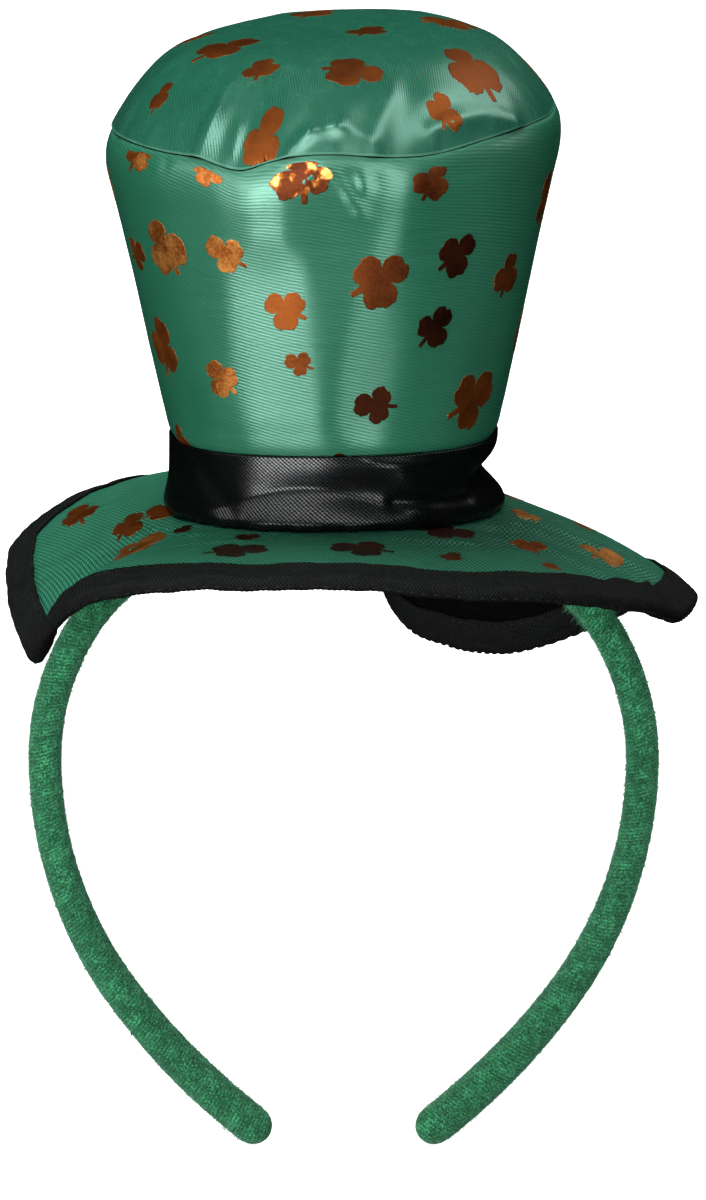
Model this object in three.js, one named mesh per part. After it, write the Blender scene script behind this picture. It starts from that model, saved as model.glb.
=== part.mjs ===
import * as THREE from "three";

// Driving dimensions: millimetres and degrees. The origin is where the hoop's inner top rests on the
// head, +X is the wearer's left, +Y points to the back and +Z is up.

// The hoop's centreline, walked from its top down one arm.
const HOOP_ARCS = [
  { radius: 91.2, turn: 25 },
  { radius: 45.8, turn: 35 },
  { radius: 57.8, turn: 30 },
  { radius: 93.0, turn: 36 },
  { radius: 154.3, turn: 17 },
];
const HOOP_TUBE = 4.0;
const HOOP_TIP_TUBE = 4.7;
const HOOP_SWELL_FROM = 120;
const HOOP_SWELL_TO = 180;
const HOOP_STEPS = 62;
const HOOP_SIDES = 12;

// The hat stands a little in front of the hoop's plane; heights are of the brim's middle surface.
const GAP = 0.3;
const CLOTH = 1.0;
const HAT_X = -2.2;
const HAT_Y = -8.0;
const HAT_AROUND = 54;
const BRIM_Z = 2 * HOOP_TUBE + GAP + CLOTH + GAP / 2;

// The brim: a flat round cut bent down from a fold line just outside the crown.
const BRIM_HOLE = 33.0;
const BRIM_FOLD = 35.5;
const BRIM_FOLD_WIDTH = 5.0;
const BRIM_RIM = 82.0;
const BRIM_SADDLE = 3.0;
const BINDING_WIDTH = 8.0;

// By direction from +X towards +Y: how far the brim leans below level beside the crown and at its rim,
// and how far its cloth reaches out from the fold line.
const BRIM_FALL = [
  { at: 0, crown: 16, rim: 37, reach: 49.5 },
  { at: 22, crown: 21, rim: 42, reach: 49.5 },
  { at: 34, crown: 33, rim: 60, reach: 50 },
  { at: 50, crown: 50, rim: 80, reach: 50.5 },
  { at: 66, crown: 53, rim: 81, reach: 50.5 },
  { at: 80, crown: 47, rim: 71, reach: 49 },
  { at: 94, crown: 17, rim: 33, reach: 47 },
  { at: 112, crown: 11, rim: 26, reach: 46 },
  { at: 137, crown: 9, rim: 24, reach: 44 },
  { at: 160, crown: 13, rim: 31, reach: 41 },
  { at: 180, crown: 18, rim: 37, reach: 40 },
  { at: 194, crown: 21, rim: 43, reach: 43 },
  { at: 206, crown: 23, rim: 49, reach: 48 },
  { at: 218, crown: 13, rim: 30, reach: 47 },
  { at: 234, crown: 4, rim: 11, reach: 46 },
  { at: 250, crown: -1, rim: 2, reach: 45 },
  { at: 275, crown: -1, rim: 0, reach: 44.5 },
  { at: 305, crown: 3, rim: 10, reach: 45.5 },
  { at: 325, crown: 8, rim: 20, reach: 47 },
  { at: 345, crown: 14, rim: 33, reach: 48.5 },
];

// The crown's outer wall from the brim up, with the levels that its inner face keeps, its seam and top.
const CROWN_WALL = 1.6;
const CROWN_PROFILE = [
  { height: 0, radius: 35.2, inner: true },
  { height: 4, radius: 35.2, inner: true },
  { height: 8, radius: 35.2, inner: true },
  { height: 12, radius: 35.2, inner: true },
  { height: 16.3, radius: 35.3, inner: true },
  { height: 18.2, radius: 36.5, inner: true },
  { height: 30, radius: 39.2, inner: false },
  { height: 45, radius: 42.6, inner: true },
  { height: 60, radius: 45.9, inner: false },
  { height: 71, radius: 48.5, inner: true },
  { height: 77.5, radius: 50.0, inner: false },
  { height: 82.3, radius: 50.0, inner: true },
  { height: 85.1, radius: 48.9, inner: true },
];
const SEAM_HEIGHT = 85.1;
const SEAM_TILT = 2.5;
const SEAM_RADIUS = 48.7;
const DOME_HEIGHT = 20.0;
const DOME_POWER = 4.2;
const DOME_STEPS = [0, 0.34, 0.56, 0.73, 0.86, 0.95, 1];
const STAND_OFF = 0.45;

// The ribbon and the dent that pinches it into the crown on the +X side.
const BAND_LEVELS = [0, 4, 8, 12, 16.3];
const PINCH_DEPTH = 4.6;
const PINCH_HEIGHT = 8.0;
const PINCH_RISE = 4.4;
const PINCH_SPREAD = 30;
const CREASE_DEPTH = 0.8;
const CREASE_AT = 300;
const CREASE_SPREAD = 45;
const FLARE_REACH = 1.4;

const RAD = Math.PI / 180;

const COLOURS = {
  plush: 0x237d46,
  satin: 0x2a7658,
  lining: 0x111113,
  tape: 0x17181b,
  ribbon: 0x15171c,
};

const group = new THREE.Group();
group.name = "hat_headband";

function addPiece(name, geometry, colour) {
  const material = new THREE.MeshStandardMaterial({ color: colour, roughness: 0.8 });
  const mesh = new THREE.Mesh(geometry, material);
  mesh.name = name;
  group.add(mesh);
}

// The two faces of a cloth are walked in opposite directions; swapping the diagonals of one of them
// makes both faces, and the neighbouring cloth, bend along the same lines.
function alignDiagonals(geometry, section) {
  const index = geometry.index.array;
  const legs = section.length - 1;
  for (let quad = 0; quad < index.length / 6; quad += 1) {
    const [from, to] = [section[quad % legs], section[(quad % legs) + 1]];
    if (to[0] - from[0] + to[1] - from[1] < 0) {
      const [a, b, d, c] = index.slice(6 * quad, 6 * quad + 4);
      index.set([a, b, c, a, c, d], 6 * quad);
    }
  }
}

// A closed section turned about the lathe's axis, each vertex then carried to its place.
function turned(section, sides, place) {
  const outline = section.map(([out, along]) => new THREE.Vector2(out, along));
  const geometry = new THREE.LatheGeometry(outline, sides);
  alignDiagonals(geometry, section);
  const spots = geometry.attributes.position;
  for (let i = 0; i < spots.count; i += 1) {
    const spot = place(spots.getX(i), spots.getY(i), spots.getZ(i));
    spots.setXYZ(i, spot.x, spot.y, spot.z);
  }
  geometry.computeVertexNormals();
  return geometry;
}

// A hat piece: the section's radius and height are handed on with the direction round the hat.
function turnedRoundHat(section, place) {
  return turned(section, HAT_AROUND, (x, along, z) => {
    const angle = Math.atan2(-z, x);
    const [radius, height] = place(Math.hypot(x, z), along, angle);
    return {
      x: HAT_X + radius * Math.cos(angle),
      y: HAT_Y + radius * Math.sin(angle),
      z: height,
    };
  });
}

// A smooth value from the brim's table, read periodically.
function fallAt(angle, column) {
  const count = BRIM_FALL.length;
  const turn = (((angle / RAD) % 360) + 360) % 360;
  const found = BRIM_FALL.findIndex((row) => row.at > turn);
  const next = found < 0 ? count : found;
  const at = (k) => BRIM_FALL[(k + count) % count].at + 360 * Math.floor(k / count);
  const value = (k) => BRIM_FALL[(k + count) % count][column];
  const slope = (k) => (value(k + 1) - value(k - 1)) / (at(k + 1) - at(k - 1));
  const span = at(next) - at(next - 1);
  const t = (turn - at(next - 1)) / span;
  const rise = t * t * (3 - 2 * t);
  const bend = t * (1 - t) * (1 - t) * span * slope(next - 1) - t * t * (1 - t) * span * slope(next);
  return value(next - 1) * (1 - rise) + value(next) * rise + bend;
}

// The brim's surface: flat inside the fold line, then one short arc down to the lean at the crown and
// one long arc on to the lean at the rim. Offset is measured along the surface's normal.
function drape(flat, angle, offset) {
  const lean = [RAD * fallAt(angle, "crown"), RAD * fallAt(angle, "rim")];
  const reach = fallAt(angle, "reach") - BRIM_FOLD_WIDTH;
  const stretch = reach / (BRIM_RIM - BRIM_FOLD - BRIM_FOLD_WIDTH);
  const past = flat - BRIM_FOLD;
  const legs = [
    { run: Math.min(Math.max(past, 0), BRIM_FOLD_WIDTH), from: 0, turn: lean[0] / BRIM_FOLD_WIDTH },
    {
      run: Math.max(past - BRIM_FOLD_WIDTH, 0) * stretch,
      from: lean[0],
      turn: (lean[1] - lean[0]) / reach,
    },
  ];
  let radius = Math.min(flat, BRIM_FOLD);
  let height = -BRIM_SADDLE * (Math.cos(angle) * Math.min(flat / BRIM_FOLD, 1)) ** 2;
  let slope = 0;
  for (const leg of legs) {
    const middle = leg.from + (leg.turn * leg.run) / 2;
    const half = (leg.turn * leg.run) / 2;
    const chord = Math.abs(half) < 1e-9 ? leg.run : (leg.run * Math.sin(half)) / half;
    radius += chord * Math.cos(middle);
    height -= chord * Math.sin(middle);
    if (leg.run > 0) {
      slope = leg.from + leg.turn * leg.run;
    }
  }
  return [radius + offset * Math.sin(slope), BRIM_Z + height + offset * Math.cos(slope)];
}

// How far the base of the crown is pushed out or pinched in, by direction and height.
function sideShift(angle, height) {
  const apart = (from) => Math.atan2(Math.sin(angle - from * RAD), Math.cos(angle - from * RAD)) / RAD;
  const level = Math.exp(-(((height - PINCH_HEIGHT) / PINCH_RISE) ** 2));
  const pinch = PINCH_DEPTH * Math.exp(-((apart(0) / PINCH_SPREAD) ** 2));
  const crease = CREASE_DEPTH * Math.exp(-((apart(CREASE_AT) / CREASE_SPREAD) ** 2));
  const flare = FLARE_REACH * Math.exp(-((apart(0) / PINCH_SPREAD) ** 2) - (height / 3) ** 2);
  return flare - level * Math.max(pinch, crease);
}

// The crown stands on the brim's upper cloth; its seam plane tilts up towards +X.
function crownPlace(radius, height, angle) {
  const up = height / SEAM_HEIGHT;
  const floor = drape(Math.min(radius, BRIM_FOLD), angle, GAP / 2 + CLOTH)[1] + STAND_OFF;
  const level = BRIM_Z + GAP / 2 + CLOTH + STAND_OFF;
  const base = floor * (1 - up) + level * up;
  const tilt = (SEAM_TILT * up * radius * Math.cos(angle)) / SEAM_RADIUS;
  return [radius + sideShift(angle, height), base + height + tilt];
}

// Hoop: position and outward direction at a signed distance from the top along the centreline.
function hoopAt(distance) {
  let left = Math.abs(distance);
  let x = 0;
  let z = HOOP_TUBE;
  let heading = 0;
  for (const arc of HOOP_ARCS) {
    const swing = Math.min(left / arc.radius, arc.turn * RAD);
    x += arc.radius * (Math.sin(heading + swing) - Math.sin(heading));
    z += arc.radius * (Math.cos(heading + swing) - Math.cos(heading));
    heading += swing;
    left -= swing * arc.radius;
  }
  const side = Math.sign(distance) || 1;
  return {
    x: side * (x + left * Math.cos(heading)),
    z: z - left * Math.sin(heading),
    outX: side * Math.sin(heading),
    outZ: Math.cos(heading),
  };
}

function hoopSection() {
  const half = HOOP_ARCS.reduce((sum, arc) => sum + arc.radius * arc.turn * RAD, 0);
  const body = half - HOOP_TIP_TUBE;
  const section = [];
  const tip = [0, 30, 60, 80];
  for (const turn of tip) {
    section.push([HOOP_TIP_TUBE * Math.sin(turn * RAD), -body - HOOP_TIP_TUBE * Math.cos(turn * RAD)]);
  }
  for (let i = 0; i <= HOOP_STEPS; i += 1) {
    const along = body * ((2 * i) / HOOP_STEPS - 1);
    const raw = (Math.abs(along) - HOOP_SWELL_FROM) / (HOOP_SWELL_TO - HOOP_SWELL_FROM);
    const swell = Math.min(Math.max(raw, 0), 1);
    section.push([HOOP_TUBE + (HOOP_TIP_TUBE - HOOP_TUBE) * swell, along]);
  }
  for (const turn of tip.toReversed()) {
    section.push([HOOP_TIP_TUBE * Math.sin(turn * RAD), body + HOOP_TIP_TUBE * Math.cos(turn * RAD)]);
  }
  return section;
}

function headband() {
  return turned(hoopSection(), HOOP_SIDES, (out, along, across) => {
    const spot = hoopAt(along);
    return { x: spot.x + out * spot.outX, y: across, z: spot.z + out * spot.outZ };
  });
}

// A cloth layer of the brim between two flat radii and two offsets from the middle surface.
function brimLayer(radii, low, high) {
  const section = [];
  for (const radius of radii) {
    section.push([radius, low]);
  }
  for (const radius of radii.toReversed()) {
    section.push([radius, high]);
  }
  if (radii[0] > 0) {
    section.push([radii[0], low]);
  }
  return turnedRoundHat(section, (flat, offset, angle) => drape(flat, angle, offset));
}

function brimBinding() {
  const inner = GAP / 2 + CLOTH + GAP;
  const outer = inner + CLOTH;
  const start = BRIM_RIM + GAP - BINDING_WIDTH;
  const bend = BRIM_RIM + GAP;
  const section = [
    [start, -outer],
    [(start + bend) / 2, -outer],
    [bend - 0.4, -outer],
    [bend + CLOTH, -outer * 0.6],
    [bend + CLOTH + GAP, 0],
    [bend + CLOTH, outer * 0.6],
    [bend - 0.4, outer],
    [(start + bend) / 2, outer],
    [start, outer],
    [start, inner],
    [(start + bend) / 2, inner],
    [bend, inner],
    [bend, -inner],
    [(start + bend) / 2, -inner],
    [start, -inner],
    [start, -outer],
  ];
  return turnedRoundHat(section, (flat, offset, angle) => drape(flat, angle, offset));
}

function crownSide() {
  const section = CROWN_PROFILE.map((row) => [row.radius, row.height]);
  const lining = CROWN_PROFILE.filter((row) => row.inner).toReversed();
  for (const row of lining) {
    section.push([row.radius - CROWN_WALL, row.height]);
  }
  section.push([CROWN_PROFILE[0].radius, 0]);
  return turnedRoundHat(section, crownPlace);
}

function crownTop() {
  const lift = SEAM_HEIGHT + GAP;
  const dome = (part, rim, rise) => [rim * part, lift + rise * (1 - part ** DOME_POWER)];
  const under = DOME_STEPS.map((part) => dome(part, SEAM_RADIUS - CROWN_WALL, DOME_HEIGHT - CROWN_WALL));
  const over = DOME_STEPS.toReversed().map((part) => dome(part, SEAM_RADIUS, DOME_HEIGHT));
  return turnedRoundHat([...under, ...over], (radius, height, angle) => {
    const tilt = (SEAM_TILT * radius * Math.cos(angle)) / SEAM_RADIUS;
    return [radius, BRIM_Z + GAP / 2 + CLOTH + STAND_OFF + height + tilt];
  });
}

function hatBand() {
  const inside = CROWN_PROFILE[0].radius + GAP;
  const outside = inside + CLOTH;
  const section = BAND_LEVELS.map((level) => [outside, level]);
  for (const level of BAND_LEVELS.toReversed()) {
    section.push([inside, level]);
  }
  section.push([outside, 0]);
  return turnedRoundHat(section, (radius, height, angle) => crownPlace(radius, height, angle));
}

const TUCK = BRIM_RIM + GAP - BINDING_WIDTH;
const RING = [
  BRIM_HOLE,
  BRIM_FOLD,
  BRIM_FOLD + BRIM_FOLD_WIDTH / 2,
  BRIM_FOLD + BRIM_FOLD_WIDTH,
  52,
  64.5,
  TUCK,
  TUCK + BINDING_WIDTH / 2,
  BRIM_RIM,
];
const DISC = [0, 18, ...RING];

addPiece("headband", headband(), COLOURS.plush);
addPiece("brim_underside", brimLayer(DISC, -GAP / 2 - CLOTH, -GAP / 2), COLOURS.lining);
addPiece("brim_top", brimLayer(RING, GAP / 2, GAP / 2 + CLOTH), COLOURS.satin);
addPiece("brim_binding", brimBinding(), COLOURS.tape);
addPiece("crown_side", crownSide(), COLOURS.satin);
addPiece("crown_top", crownTop(), COLOURS.satin);
addPiece("hat_band", hatBand(), COLOURS.ribbon);

export default group;
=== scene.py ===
import bpy
import numpy as np
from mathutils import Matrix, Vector


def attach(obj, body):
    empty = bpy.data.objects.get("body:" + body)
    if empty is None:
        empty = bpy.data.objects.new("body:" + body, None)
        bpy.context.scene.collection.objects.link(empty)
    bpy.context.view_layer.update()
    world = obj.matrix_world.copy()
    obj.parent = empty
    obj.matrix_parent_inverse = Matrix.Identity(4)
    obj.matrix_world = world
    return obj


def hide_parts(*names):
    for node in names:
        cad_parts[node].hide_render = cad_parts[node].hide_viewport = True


# A novelty headband: a plush-covered hoop that carries a small soft hat with a drooping brim.
# Lengths are millimetres until a mesh is made. Directions round the hat run from +X towards +Y, so
# 270 degrees is the front.

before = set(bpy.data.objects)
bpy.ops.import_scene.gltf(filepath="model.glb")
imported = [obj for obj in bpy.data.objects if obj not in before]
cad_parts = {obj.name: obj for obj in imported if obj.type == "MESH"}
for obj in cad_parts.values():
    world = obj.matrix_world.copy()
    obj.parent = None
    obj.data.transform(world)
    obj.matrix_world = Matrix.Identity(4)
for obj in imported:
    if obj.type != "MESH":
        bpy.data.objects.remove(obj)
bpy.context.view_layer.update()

MM = 0.001
TURN = 2 * np.pi
# Millimetres of flat cloth in one unit of a piece's cloth map.
CLOTH_UNIT = 100.0

# The hoop: radius and turn of each arc down an arm, its tube, its knit cover and its loose fibres.
HOOP_ARCS = np.array([[91.2, 25], [45.8, 35], [57.8, 30], [93.0, 36], [154.3, 17]])
HOOP_TUBE = 4.0
HOOP_TIP_TUBE = 4.7
HOOP_SWELL = (120.0, 180.0)
HOOP_BODY = float(np.sum(HOOP_ARCS[:, 0] * np.radians(HOOP_ARCS[:, 1]))) - HOOP_TIP_TUBE
HOOP_PILE = 0.35
RIB_PITCH = 0.85
RIB_STARTS = 8
FIBRES = 48000
FIBRE_THICK = 0.05
FIBRE_SHORTEST = 0.3
FIBRE_LEAN = 0.75

# The hat's axis, and the brim by distance along its cloth from that axis.
HAT_X = -2.2
HAT_Y = -8.0
BRIM_Z = 9.45
BRIM_HOLE = 33.0
BRIM_FOLD = 35.5
BRIM_FOLD_WIDTH = 5.0
BRIM_RIM = 82.0
BRIM_SADDLE = 3.0
CLOTH_TOP = 1.15
CLOTH_NEAR = 0.15

# Along the brim's cloth: where it is free of the crown, where prints may lie, where the rim rises and
# droops, where folds fade out, and the tape's two inner edges and its turn round the rim.
BRIM_FREE = 38.0
BRIM_PRINTS = (34.0, 80.0)
RIM_RISE = (44.0, 72.0)
RIM_DROOP = (72.0, 84.0)
FOLDS_END = (86.0, 74.0)
TAPE_TOP_EDGE = 74.3
TAPE_UNDER_EDGE = 75.9
TAPE_TURN = 81.7

# Stitches in a row round the tape; each one's half length, half width and half height.
STITCHES = 190
STITCH_REACH = 0.95
STITCH_WIDE = 0.28
STITCH_HIGH = 0.24

# Direction, lean beside the crown, lean at the rim, reach of the cloth from the fold line.
BRIM_FALL = np.array([
    [0, 16, 37, 48.4], [21, 21, 42, 49.5], [32, 33, 60, 50], [48, 50, 80, 50.5], [64, 53, 81, 50.5],
    [77, 47, 71, 49], [90, 17, 33, 47], [110, 11, 26, 46], [137, 9, 24, 44], [160, 13, 31, 41],
    [180, 18, 37, 40], [194, 21, 43, 42.3], [206, 23, 49, 46.4], [218, 13, 30, 47], [234, 4, 11, 46],
    [250, -1, 2, 45], [275, -1, 0, 44.5], [305, 3, 10, 45.5], [325, 8, 20, 47], [345, 14, 33, 47.4],
])

# Direction, how far the brim rises towards its binding, how far the binding hangs at its outer edge.
RIM_BEND = np.array([
    [0, 0, 0.4], [90, 0, 0], [180, 0, 0], [200, 0, 0.6], [206, 0.4, 1.2], [212, 1.4, 3.0], [218, 2.8, 4.0],
    [224, 3.6, 2.6], [231, 3.4, 1.2], [238, 2.2, 1.1], [244, 1.1, 0.9], [250, 0.5, 0.9], [258, 0, 0.9],
    [275, 0, 0.9], [305, 0.3, 1.0], [325, 0.5, 1.3], [340, 0, 1.2],
])

# Height and radius of the crown's side; it is drawn in where the ribbon goes round it.
CROWN_PROFILE = np.array([
    [0, 34.2], [12, 34.2], [15, 34.6], [16.6, 35.6], [18.2, 36.5], [22, 37.4], [30, 39.2], [45, 42.6],
    [60, 45.9], [71, 48.5], [77.5, 50.0], [82.3, 50.0], [85.1, 48.9],
])

# Up the wall: where it comes free of the ribbon, where the seam holds it, where the seam's waves pull it,
# and the height past which prints are squeezed into the room that is left.
WALL_MEAN_RADIUS = 43.0
WALL_THICK = 1.5
WALL_FREE = (16.0, 26.0)
WALL_SEWN = (86.0, 80.0)
SEAM_PULL = (58.0, 85.0)
PRINTS_FREE = 80.0
PRINTS_ROOM = 4.9

# The crown's stand over the brim, its seam, and the domed top panel with its flat cut and its print's limit.
STAND = 1.6
SEAM_HEIGHT = 85.1
SEAM_RADIUS = 48.7
SEAM_TILT = 2.5
DOME_LIFT = 85.4
DOME_HEIGHT = 20.0
DOME_POWER = 4.2
TOP_CUT = 52.0
TOP_THICK = 1.6
TOP_PRINTS = 0.996

# A print's face over the cloth and its back under it, and the length of a degree round the crown.
FOIL_LIFT = 0.06
FOIL_SUNK = -0.12
MM_PER_DEGREE = 0.75

# The ribbon, the dent that pinches it, the long crease beside that and the slack roll in front: where
# they are round the hat in degrees, how wide, and how high or deep.
BAND_HEIGHT = 16.3
BAND_RADIUS = 36.5
BAND_THICK = 0.7
PINCH_AT = 0.0
PINCH_WIDTH = 30.0
PINCH_HEIGHT = 8.4
PINCH_TALL = 3.4
PINCH_DEPTH = 4.6
FLARE = 1.6
FLARE_TALL = 4.4
CREASE_AT = 300.0
CREASE_WIDTH = 45.0
CREASE_DEPTH = 0.8
ROLL_AT = 260.0
ROLL_WIDTH = 36.0
ROLL_TOP = 9.0
ROLL_SLOPE = 0.32

# Direction round the seam and how far the sewn line rises there.
SEAM_WAVES = np.array([
    [0, 0.3], [30, -0.5], [60, 0.6], [95, -0.4], [130, 0.5], [165, -0.5], [200, 0.4], [220, 0.3],
    [233, 0], [245, -2.0], [254, 0.2], [263, 1.5], [272, 1.3], [283, 0], [296, -0.7], [315, 0.4],
    [335, 0.4], [350, -0.2],
])

# Waves round a cloth: height, how many go round, where they start and, on the wall, how far up it one
# radian of slant takes.
WALL_WAVES = [(0.30, 3, 1.3, 40), (0.22, 5, -0.7, -25), (0.10, 9, 2.0, 14), (0.05, 17, 0.0, -9)]
BRIM_RIPPLES = [(0.35, 7, 0.6), (0.2, 13, 2.1), (0.1, 29, 0.0)]
TAPE_RIBS = [(0.05, 420, 0.0), (0.07, 37, 1.0), (0.05, 83, 0.3)]
RIBBON_EDGE = [(0.22, 23, 0.4), (0.16, 61, 0.0)]

# Folds on a cloth: from (direction or x, height or y) to the same, width, height of the ridge.
WALL_FOLDS = [
    (253, 70, 254.5, 82, 5.5, 1.1), (274, 72, 274, 82, 9.0, -1.1), (271.7, 79.8, 274.5, 76, 1.3, 0.2),
    (274.5, 76, 277, 73.2, 1.3, 0.2), (276, 84, 278, 79, 1.5, 0.22), (278, 79, 277.2, 73.5, 1.5, 0.16),
    (264, 80.5, 273.5, 84, 1.2, 0.4), (232, 30, 230, 60, 9.0, 0.3), (300, 70, 303, 86, 6.0, -0.35),
    (318, 70, 320, 86, 5.0, 0.25), (345, 50, 350, 84, 6.0, -0.4), (25, 60, 22, 86, 6.0, -0.5),
    (58, 66, 60, 86, 5.0, 0.4), (92, 20, 95, 62, 8.0, -0.6), (120, 60, 118, 86, 6.0, 0.4),
    (150, 64, 154, 86, 6.0, -0.4), (190, 62, 188, 86, 6.0, 0.3),
]
TOP_FOLDS = [
    (-29.5, -38.5, -23, -31, 2.0, 0.9), (-22, -41.5, -20.5, -38.5, 1.2, 0.35),
    (-10, -47.4, -5, -45.6, 1.2, 0.6), (-5, -45.6, 1, -45.0, 1.3, 0.6), (1, -45.0, 8, -46.0, 1.4, 0.5),
    (9, -47, 12.5, -37, 2.4, 0.5),
    (18, -42, 21, -36, 3.0, 0.3), (22, -40.5, 39.5, -27, 1.6, 0.9), (-44, -12, -34, -8, 4.0, 0.4),
    (-40, 20, -30, 14, 4.0, -0.4), (-18, 42, -12, 30, 4.0, 0.4), (8, 45, 6, 32, 4.0, -0.4),
    (30, 34, 22, 26, 4.0, 0.4), (45, 14, 36, 10, 3.5, 0.4), (-38, -14, -35, 14, 9.0, 1.2),
]
BAND_FOLDS = [
    (292, 6.0, 326, 5.2, 1.5, -0.9), (294, 9.8, 322, 9.2, 2.4, 0.4), (290, 17, 302, 7.5, 7.5, 1.6),
    (218, 12, 232, 3, 3.0, -0.4), (200, 9, 214, 8, 3.0, 0.3), (170, 0, 200, 0, 5.0, 1.4),
    (30, 6, 90, 8, 2.4, -0.5), (120, 5, 160, 8, 2.8, -0.5), (60, 3, 150, 3, 3.0, 0.8),
    (96, 16, 104, 8, 2.6, 0.4), (40, 15, 52, 9, 2.6, 0.4),
]
BRIM_FOLDS = [
    (-34, -17, -70, -36, 2.0, 0.6), (40, -6, 80, -10, 2.0, 0.4), (10, -38, 16, -76, 4.0, 0.4),
    (-14, -38, -22, -76, 5.0, -0.4), (30, 28, 58, 54, 5.0, -0.5), (-30, 30, -50, 60, 5.0, 0.4),
    (14, -43, 30, -40, 1.6, 0.4), (22, -46, 38, -38, 1.6, -0.3), (-32, -40, -20, -44, 1.6, 0.4),
    (34, -32, 46, -30, 1.8, 0.4), (36, -12, 70, -26, 3.0, 1.0), (33, -22, 60, -46, 3.2, -0.9),
    (-36, -22, -30, -30, 1.2, 0.45), (-40, -16, -33, -26, 1.3, -0.4), (36, -18, 44, -22, 1.4, 0.4),
]


def smooth_rows(x, rows, column, period=0.0):
    """A smooth value from a table: cubic curves between neighbouring rows, whose slopes come from the
    rows on both sides. With a period the table repeats."""
    at, value = rows[:, 0], rows[:, column]
    if period:
        x = np.mod(x, period)
        at = np.concatenate([at[-2:] - period, at, at[:2] + period])
        value = np.concatenate([value[-2:], value, value[:2]])
    slope = np.gradient(value, at)
    slope[1:-1] = (value[2:] - value[:-2]) / (at[2:] - at[:-2])
    k = np.clip(np.searchsorted(at, x, side="right"), 1, len(at) - 1)
    span = at[k] - at[k - 1]
    t = np.clip((x - at[k - 1]) / span, 0, 1)
    rise = t * t * (3 - 2 * t)
    bend = t * (1 - t) ** 2 * span * slope[k - 1] - t * t * (1 - t) * span * slope[k]
    return value[k - 1] * (1 - rise) + value[k] * rise + bend


def apart(angle, degrees):
    """Signed degrees from a direction to an angle, wrapped to half a turn either way."""
    return np.mod(np.degrees(angle) - degrees + 180, 360) - 180


def ease(x):
    """A smooth step from 0 to 1."""
    t = np.clip(x, 0, 1)
    return t * t * (3 - 2 * t)


def between(x, ends):
    """A smooth step from 0 at the first end to 1 at the second, whichever is the larger."""
    return ease((x - ends[0]) / (ends[1] - ends[0]))


def bell(x, width):
    """A bell: 1 in the middle, falling off to nothing at about twice its width."""
    return np.exp(-((x / width) ** 2))


def waves(angle, rows):
    """Sine waves round the hat, added up: each row gives a height, how many go round and a start."""
    return sum(height * np.sin(count * angle + start) for height, count, start in rows)


def ridges(u, v, rows):
    """Folds in a cloth: each row's height falls off as a bell across its straight line and fades the
    same way past the line's ends."""
    total = np.zeros(np.broadcast(u, v).shape)
    for u0, v0, u1, v1, width, height in rows:
        length = np.hypot(u1 - u0, v1 - v0)
        along = ((u - u0) * (u1 - u0) + (v - v0) * (v1 - v0)) / length
        across = ((u - u0) * (v1 - v0) - (v - v0) * (u1 - u0)) / length
        past = np.maximum(np.maximum(-along, along - length), 0)
        total = total + height * np.exp(-((across / width) ** 2) - (past / (1.5 * width)) ** 2)
    return total


def round_ridges(angle, height, rows):
    """Folds given by direction and height on a cloth that goes round the hat; each is measured on the
    side that it is nearest to."""
    total = np.zeros(np.broadcast(angle, height).shape)
    for at0, h0, at1, h1, width, rise in rows:
        half = (at1 - at0) / 2
        u = apart(angle, at0 + half) * MM_PER_DEGREE
        line = (-half * MM_PER_DEGREE, h0, half * MM_PER_DEGREE, h1, width, rise)
        total = total + ridges(u, height, [line])
    return total


def seam_gathers(angle, seed, count):
    """Small puckers along the seam: narrow bells at seeded directions, widths and heights."""
    draw = np.random.default_rng(seed)
    at = (np.arange(count) + draw.uniform(-0.35, 0.35, count)) * 360 / count
    width = draw.uniform(1.4, 3.4, count)
    height = draw.uniform(-0.42, 0.42, count)
    return bell(apart(angle[..., None], at), width) @ height


def hat_xyz(radius, angle, height):
    """A point from its distance and direction round the hat's axis and its height."""
    x = HAT_X + radius * np.cos(angle)
    y = HAT_Y + radius * np.sin(angle)
    return np.stack(np.broadcast_arrays(x, y, height), axis=-1)


def brim_xyz(flat, angle, lift):
    """The brim: level inside the fold line, then a short arc down to the lean at the crown and a long
    arc on to the lean at the rim; lift is measured along the surface's normal."""
    turn = np.degrees(angle)
    lean = np.radians(smooth_rows(turn, BRIM_FALL, 1, 360))
    rim = np.radians(smooth_rows(turn, BRIM_FALL, 2, 360))
    reach = smooth_rows(turn, BRIM_FALL, 3, 360) - BRIM_FOLD_WIDTH
    past = flat - BRIM_FOLD
    run0 = np.clip(past, 0, BRIM_FOLD_WIDTH)
    run1 = np.maximum(past - BRIM_FOLD_WIDTH, 0) * reach / (BRIM_RIM - BRIM_FOLD - BRIM_FOLD_WIDTH)
    turn0 = lean * run0 / BRIM_FOLD_WIDTH
    turn1 = (rim - lean) * run1 / reach
    chord0 = run0 * np.sinc(turn0 / TURN)
    chord1 = run1 * np.sinc(turn1 / TURN)
    middle0 = turn0 / 2
    middle1 = lean + turn1 / 2
    radius = np.minimum(flat, BRIM_FOLD) + chord0 * np.cos(middle0) + chord1 * np.cos(middle1)
    height = -BRIM_SADDLE * (np.cos(angle) * np.minimum(flat / BRIM_FOLD, 1)) ** 2
    height = height - chord0 * np.sin(middle0) - chord1 * np.sin(middle1)
    slope = np.where(run1 > 0, lean + turn1, turn0)
    rise = lift + brim_relief(flat, angle)
    return hat_xyz(radius + rise * np.sin(slope), angle, BRIM_Z + height + rise * np.cos(slope))


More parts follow.
